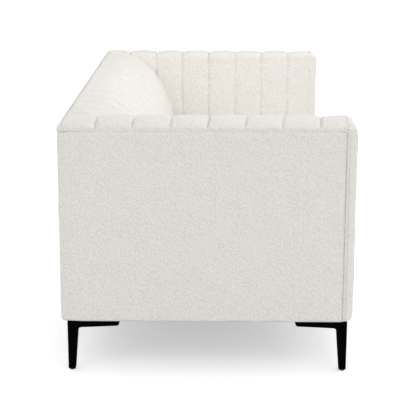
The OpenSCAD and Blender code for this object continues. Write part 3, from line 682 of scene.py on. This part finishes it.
def tube(path, normals, x, r):
    """A round tube along a path in the (Y, Z) plane: at each point a circle in the plane of the
    normal and X, and the last two circles at each end are smaller."""
    turn = np.linspace(0, 2 * np.pi, welt_sides, endpoint=False)
    size = np.full(len(path), r)
    end_size, next_size = 0.3, 0.85
    size[[0, -1]] *= end_size
    size[[1, -2]] *= next_size
    ring = np.empty((len(path), welt_sides, 3))
    ring[..., 0] = x + size[:, None] * np.sin(turn)
    ring[..., 1:] = path[:, None] + normals[:, None] * (size[:, None] * np.cos(turn))[..., None]
    return ring


def tube_faces(rows, sides):
    """Faces of a tube's wall, and a strip of faces across each of its two end rings."""
    index = np.arange(rows * sides).reshape(rows, sides)
    wall = cells_of(np.concatenate([index, index[:, :1]], 1))
    k = np.arange(sides // 2 - 1)
    cap = np.stack([k, k + 1, sides - 2 - k, sides - 1 - k], -1)
    return np.concatenate([wall, cap[:, ::-1], cap + (rows - 1) * sides])


for side, turned, seed in (("left", 1, 50), ("right", mirrored, 60)):
    outer = outside_panel(seed)
    lining = outer * (0, 1, 1) + (panel_back_x, 0, 0)
    panel = shell(f"outside_arm_{side}", outer * turned, lining * turned)
    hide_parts(f"outside_arm_panel_{side}")
    path = welt_path()
    rings = tube(path, facing(path), arm_outer + welt_sunk, welt_r)
    near_front = smooth_step(path[:, 0], *(arm_front + reach for reach in welt_tuck_eases))
    rings[..., 0] += welt_tuck * near_front[:, None]
    rings[..., 0] -= welt_relief * waves(rings, welt_wave, seed + 3)
    make_piece(
        f"arm_welt_{side}", rings.reshape(-1, 3) * turned, tube_faces(len(path), welt_sides),
        looped_white, "sofa",
    )


# Back pad: a foam and wadding pad that curves over the bent back board, sewn into thirteen channels.
# It runs from the top of the outside back, over the top edge and down to the seat deck.
back_low, back_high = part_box("back_pad")
spine_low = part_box("back_board")[0]
outside_y, top_flat, curve_reach, curve_rise = panel_high.y, 0.06, 0.232, 0.33
back_hold, back_roll, back_roll_reach = 0.03, 0.001, 0.003
back_ease, back_eases, back_wander = 0.45, (0.02, 0.08), 0.0016
flat_y = outside_y - top_flat
curve_z = arm_top - curve_rise
rear_angle = math.degrees(math.acos(1 - (outside_y - back_high.y) / rear_round_d))
back_channels, back_lines_each = 13, 24
back_pitch = (back_high.x - back_low.x) / back_channels
back_seams = back_low.x + back_pitch * np.arange(back_channels + 1)
back_lines = channel_lines(back_seams, back_lines_each)

back_section = evenly(
    np.concatenate([
        arc((outside_y - rear_round_d, arm_top - rear_round_h), (rear_round_d, rear_round_h), rear_angle, 90),
        arc((flat_y, curve_z), (curve_reach, curve_rise), 90, 180, count=60),
        [(flat_y - curve_reach, deck_z)],
    ]),
    grid_step,
)
back_lining = matched(
    np.concatenate([
        [(back_high.y, frame_top_z)],
        arc(
            (flat_y, curve_z), (spine_low.y - flat_y - lining_gap, frame_top_z - curve_z),
            90, 0, count=40,
        ),
        [(spine_low.y - lining_gap, deck_z)],
    ]),
    len(back_section),
)


def back_cover(seed):
    """The back's cover: its section is carried from arm to arm and sinks at the channel seams, about
    half as deep down the curve as at the top edge."""
    grid = carried(back_lines, back_section, 0)
    normal = carried(np.zeros(len(back_lines)), -facing(back_section), 0)
    along = np.linspace(0, grid_step * (len(back_section) - 1), len(back_section))
    dip, near = channel_dip(back_lines, along, back_seams, back_pitch / 2)
    dip *= 1 - back_ease * smooth_step(along, *back_eases)
    held = smooth_step(along, 0, back_hold)
    roll = back_roll * np.exp(-along / back_roll_reach)
    wander = back_wander * waves(grid, wander_wave, seed + 5) * near ** 2
    tucked = tuck * waves(grid, tuck_wave, seed + 6) * near ** 2
    grid -= normal * (dip * held + roll + tucked - cloth_relief(grid, seed))[..., None]
    grid[1:-1, :, 0] += wander[1:-1]
    return grid


back = shell("back_cover", back_cover(70), carried(back_lines, back_lining, 0))
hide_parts("back_pad")


# Outside back: one flat panel of wadding and cloth over hardboard, slip-stitched round its edge.
# Its top ends reach over the ends of the arm bands.
rear_low, rear_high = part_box("outside_back_panel")
rear_top_gap, rear_step_gap = 0.0005, 0.0004
rear_side_r, rear_crown = 0.007, 0.0025
rear_side_share, rear_step_share = 0.014, 0.0066
rear_top_z = arm_top - rear_round(back_high.y) - rear_top_gap
rear_z = np.unique(np.append(
    edge_lines(rear_low.z, rear_top_z, outer_edge_h, grid_step),
    (seam_z - rear_step_gap, seam_z + rear_step_gap),
))
rear_x = edge_lines(-1.0, 1.0, rear_side_share, rear_step_share)


def outside_back(seed):
    """The rear panel: flat with a slight crown, narrower below the arm bands than at its top, rolled
    in at the sides and the bottom, and rounded at the top as the covers are."""
    narrow = rear_high.x - (rail_low.x - outer_board_t - arm_outer)
    reach = np.where(rear_z > seam_z, rear_high.x - rear_round(back_high.y), narrow)
    reach = reach - corner_in(rear_top_z - rear_z, outer_edge_d, outer_edge_h)
    x = reach[:, None] * rear_x
    z = np.repeat(rear_z[:, None], len(rear_x), 1)
    roll = roll_in(reach[:, None] - np.abs(x), rear_side_r) + roll_in(z - rear_low.z, foot_turn_r)
    risen = np.clip(z - (arm_top - rear_round_h), 0, rear_round_h) / rear_round_h
    roll = np.maximum(roll, rear_round_d * (1 - np.sqrt(1 - risen ** 2)))
    tall = np.clip((z - rear_low.z) / (rear_top_z - rear_low.z), 0, 1)
    crown = rear_crown * np.cos(np.pi / 2 * rear_x) ** 0.5 * np.sin(np.pi * tall) ** 0.5
    grid = np.stack([x, np.full_like(x, rear_high.y), z], -1)
    relief = cloth_relief(grid, seed) * smooth_step(roll, panel_calm, 0)
    grid[..., 1] += crown + relief - np.minimum(roll, panel_roll_max)
    return grid


outer = outside_back(80)
back = shell("outside_back", outer, outer * (1, 0, 1) + (0, rear_low.y + lining_gap, 0))
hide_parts("outside_back_panel")


# Seat front: a padded border on the front rail, from arm to arm under the cushion.
# It is foam and looped cloth, rolled over at its four edges and stapled to the rail.
border_low, border_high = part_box("seat_front_pad")
border_side_r, border_foot_r, border_top_r = 0.005, 0.012, 0.014
border_swell, border_calm = 0.0018, 0.003
x, z = np.meshgrid(
    edge_lines(border_low.x, border_high.x, r=0.006, step=0.0075),
    edge_lines(border_low.z, border_high.z, border_foot_r, grid_step),
)
roll = (
    roll_in(z - border_low.z, border_foot_r) + roll_in(border_high.z - z, border_top_r)
    + roll_in(x - border_low.x, border_side_r) + roll_in(border_high.x - x, border_side_r)
)
outer = np.stack([x, np.full_like(x, border_low.y), z], -1)
swell = border_swell * np.sin(np.pi * (z - border_low.z) / (border_high.z - border_low.z))
outer[..., 1] += roll - swell - cloth_relief(outer, 90) * smooth_step(roll, border_calm, 0)
border = shell("seat_front", outer, outer * (1, 0, 1) + (0, border_high.y - lining_gap, 0))
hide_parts("seat_front_pad")


# Seat deck and dust cover: black non-woven cloth. The deck is a thin pad over the springs, and the
# dust cover is a sheet stapled under the frame.
def deck_finish():
    """Spun fibres pressed in a grid of small dots."""
    felt = Finish("black_felt")
    black, grey = (0.018, 0.018, 0.019), (0.055, 0.055, 0.056)
    fibre = felt.noise(felt.place(), scale=900, detail=3)
    dots = felt.cells(felt.place(), scale=420, settings={"distance": "CHEBYCHEV"}, Randomness=0.15)
    return felt.surface(
        Base_Color=felt.mix(fibre, black, grey),
        Roughness=0.92, Normal=felt.bump(dots * 0.6 + fibre * 0.4, relief=0.0004),
    )


black_felt = deck_finish()
deck_low, deck_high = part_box("seat_deck")
deck_gap, deck_sunk, deck_foot_gap = 0.001, 0.0012, 0.0005
deck_edge_r, deck_step, deck_roll_max = 0.01, 0.012, 0.02
deck_relief, deck_wave = 0.0005, 0.09
x, y = np.meshgrid(
    edge_lines(deck_low.x + deck_gap, deck_high.x - deck_gap, deck_edge_r, deck_step),
    edge_lines(deck_low.y + deck_gap, deck_high.y - deck_gap, deck_edge_r, deck_step),
)
roll = sum(
    roll_in(distance, deck_edge_r)
    for distance in (x - deck_low.x, deck_high.x - x, y - deck_low.y, deck_high.y - y)
)
outer = np.stack([x, y, deck_high.z - deck_sunk - np.minimum(roll, deck_roll_max)], -1)
outer[..., 2] += deck_relief * waves(outer, deck_wave, 95)
under = outer * (1, 1, 0) + (0, 0, deck_low.z + deck_foot_gap)
deck = shell("seat_platform", outer, under, black_felt)
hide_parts("seat_deck")

dust_low, dust_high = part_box("dust_cover")
dust_columns, dust_rows = 150, 72
dust_gap, dust_t, dust_relief, dust_wave = 0.0003, 0.0007, 0.00025, 0.12
x, y = np.meshgrid(
    np.linspace(dust_low.x, dust_high.x, dust_columns), np.linspace(dust_low.y, dust_high.y, dust_rows)
)
outer = np.stack([x, y, np.full_like(x, dust_low.z + dust_gap)], -1)
outer[..., 2] += dust_relief * waves(outer, dust_wave, 97)
dust = shell("dust_sheet", outer, outer + (0, 0, dust_t), black_felt)
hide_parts("dust_cover")


# Bench cushion: a boxed foam cushion in the same cloth, loose on the deck, with a zip at its rear.
# Cloth under air pressure swells a slightly smaller box; the foot of it stays flat on the deck.
seat_low, seat_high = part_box("cushion_cover")
zip_low, zip_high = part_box("cushion_zip")
seat_crown, seat_draw, seat_corner_r, seat_edge_r = 0.014, 0.006, 0.026, 0.011
seat_cell, swell_room, swell_cap, swell_steps = 0.01, 0.003, 0.008, 20
foot_gap, top_ease = 0.0002, 0.01
border_top_z = seat_high.z - seat_crown
seat_middle = np.array([0.0, (seat_low.y + seat_high.y) / 2, (seat_low.z + border_top_z) / 2])
seat_half = np.array([seat_high.x, (seat_high.y - seat_low.y) / 2, (border_top_z - seat_low.z) / 2])
tiny = 1e-9


def cushion_block(shrink):
    """A box with rounded edges and corners: a cube's grid is pushed out to a box whose corners are
    a rounded rectangle from above and whose edges are rounded from the side."""
    half = seat_half - shrink
    counts = (2 * half / seat_cell).round().astype(int)
    faces, points, start = [], [], 0
    for axis in range(3):
        first, second = [k for k in range(3) if k != axis]
        for end in (-1, 1):
            a, b = np.meshgrid(*(np.linspace(-1, 1, counts[k] + 1) for k in (first, second)))
            face = np.empty((*a.shape, 3))
            face[..., axis], face[..., first], face[..., second] = end, a, b
            quad = cells_of(np.arange(a.size).reshape(a.shape) + start)
            outwards = (end == 1) == (axis != 1)
            faces.append(quad if outwards else quad[:, ::-1])
            points.append(face.reshape(-1, 3))
            start += a.size
    cube = np.concatenate(points) * half
    straight = half - (seat_corner_r, seat_corner_r, seat_edge_r)
    core = np.clip(cube, -straight, straight)
    over = cube - core
    plan = np.linalg.norm(over[:, :2], axis=1, keepdims=True)
    wide = np.abs(over[:, :2]).max(1, keepdims=True)
    flat = over[:, :2] * np.where(plan > 0, wide / np.maximum(plan, tiny), 0)
    length = np.linalg.norm(flat, axis=1)
    inner_r = seat_corner_r - seat_edge_r
    out = np.clip(length - inner_r, 0, None)
    up = np.abs(over[:, 2])
    shrinkage = np.maximum(out, up) / np.maximum(np.hypot(out, up), tiny)
    pulled = (np.minimum(length, inner_r) + out * shrinkage) / np.maximum(length, tiny)
    cube = core + np.column_stack([flat * pulled[:, None], over[:, 2] * shrinkage])
    return cube + seat_middle, np.concatenate(faces)


def merged(points, quads):
    """The same mesh with points that share a place, to a hundredth of a millimetre, made one."""
    hundredths = 1e5
    key = np.round(points * hundredths).astype(np.int64)
    _, keep, back_to = np.unique(key, axis=0, return_index=True, return_inverse=True)
    return points[keep], back_to.ravel()[quads]


def crowned(points):
    """The CAD cushion's form: its top rises as a parabola from front to rear and as a fourth power
    along the seat, its ends draw in as a parabola, and its front and rear as half an ellipse."""
    share = (points - seat_middle) / seat_half
    along, deep = (np.clip(share[:, k], -1, 1) for k in (0, 1))
    points = points.copy()
    points[:, 2] += seat_crown * (1 - along ** 4) * (1 - deep ** 2) * np.clip(share[:, 2], 0, 1)
    points[:, 0] -= seat_draw * share[:, 0] * (1 - deep ** 2)
    points[:, 1] -= seat_draw * share[:, 1] * (1 - along ** 2) ** 0.5
    return points


def as_modified(pad):
    """The mesh of an object as its modifiers leave it."""
    return pad.evaluated_get(bpy.context.evaluated_depsgraph_get()).to_mesh()


def swollen(points, quads, cap):
    """Where cloth under pressure goes in its steps, with no point moved further than the cap."""
    pad = new_object("swelling", points.tolist(), quads.tolist())
    cloth = pad.modifiers.new("Cloth", "CLOTH")
    cloth.settings.use_pressure = True
    cloth.settings.uniform_pressure_force = 4
    cloth.settings.quality = 5
    cloth.settings.mass = 0.3
    cloth.settings.tension_stiffness = 20
    cloth.settings.compression_stiffness = 20
    cloth.settings.bending_stiffness = 2
    cloth.settings.effector_weights.gravity = 0
    cloth.point_cache.frame_start, cloth.point_cache.frame_end = 1, swell_steps
    for step in range(1, swell_steps + 1):
        scene.frame_set(step)
    moved = np.empty(len(points) * 3)
    as_modified(pad).vertices.foreach_get("co", moved)
    move = moved.reshape(-1, 3) - points
    bpy.data.objects.remove(pad)
    scene.frame_set(1)
    size = np.linalg.norm(move, axis=1, keepdims=True)
    return points + move * np.minimum(1, cap / np.maximum(size, tiny))


def divided(points, quads):
    """One round of subdivision, applied."""
    pad = new_object("dividing", points.tolist(), quads.tolist())
    finer = pad.modifiers.new("Subdivision", "SUBSURF")
    finer.levels = finer.render_levels = 1
    fine = as_modified(pad)
    places = np.empty(len(fine.vertices) * 3)
    fine.vertices.foreach_get("co", places)
    corners = np.empty(len(fine.loops), int)
    fine.loops.foreach_get("vertex_index", corners)
    bpy.data.objects.remove(pad)
    return places.reshape(-1, 3), corners.reshape(-1, 4)


points, quads = merged(*cushion_block(swell_room))
points = swollen(points, quads, swell_cap)
points, quads = divided(crowned(points), quads)
points[:, 2] = np.maximum(points[:, 2], seat_low.z + foot_gap)

# Two sewn seams run round the sides, one close under the top border and one close over the foot
seam_in, seam_depth, seam_w, seam_eases = 0.006, 0.0022, 0.004, (0.9, 0.97)
from_middle = (points - seat_middle) / seat_half
to_seam = np.abs(np.abs(points[:, 2] - seat_middle[2]) - seat_half[2] + seam_in)
side_out = np.max(np.abs(from_middle)[:, :2], axis=1)
seam = seam_depth * bell(to_seam, seam_w) * smooth_step(side_out, *seam_eases)
outward = from_middle * (1, 1, 0)
outward /= np.maximum(np.linalg.norm(outward, axis=1, keepdims=True), tiny)
points -= outward * seam[:, None]
on_top = smooth_step(points[:, 2], border_top_z - top_ease, border_top_z)
points[:, 2] += cloth_relief(points, 100) * on_top

# The zip lies in a slot in the rear, and the cloth slopes into it from all sides
slot_eases, slot_end, slot_reach, slot_gap = (0.019, 0.013), 0.01, 0.004, 0.0006
front_past = 0.002
slot_share = (
    smooth_step(np.abs(points[:, 2] - (zip_low.z + zip_high.z) / 2), *slot_eases)
    * smooth_step(np.abs(points[:, 0]), zip_high.x + slot_end, zip_high.x)
)
sunk = points[:, 1] * (1 - slot_share) + (zip_low.y - slot_gap) * slot_share
points[:, 1] = np.where(points[:, 1] > zip_low.y - slot_reach, sunk, points[:, 1])
points = np.clip(
    points, (seat_low.x, seat_low.y - front_past, seat_low.z), (seat_high.x, seat_high.y, np.inf)
)
cushion = make_piece("bench_cushion", points, quads, looped_white, "seat_cushion")
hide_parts("cushion_cover")

foam = Finish("seat_foam")
# The darker tone is painted shade in the pores, where the bump sinks; the paler one is the foam's own colour.
pore_shade_foam, pale_foam = (0.8, 0.74, 0.52), (0.93, 0.88, 0.68)
pores = foam.cells(foam.place(), scale=700)
dress(
    foam.surface(
        Base_Color=foam.mix(pores, pore_shade_foam, pale_foam),
        Roughness=0.9, Normal=foam.bump(pores, relief=0.0006),
    ),
    "cushion_core",
)


# Zip: a woven tape with moulded teeth, sewn into the rear of the cushion's cover.
# Its slider is a plated casting that runs on the teeth, and shares the screws' zinc finish.
tape = Finish("zip_tape")
# The darker tone is painted shade in the gaps of the weave, where its bump sinks; the paler one is the
# thread's own colour.
thread_gap_shade, thread_tone = (0.7, 0.685, 0.65), (0.84, 0.825, 0.79)
weave = tape.node(
    "ShaderNodeTexWave", out="Fac", settings={"bands_direction": "X"},
    inputs={"Vector": tape.place(), "Scale": 160, "Distortion": 0.3},
)
dress(
    tape.surface(
        Base_Color=tape.mix(weave, thread_gap_shade, thread_tone),
        Roughness=0.75, Normal=tape.bump(weave, relief=0.0008),
    ),
    "cushion_zip",
)
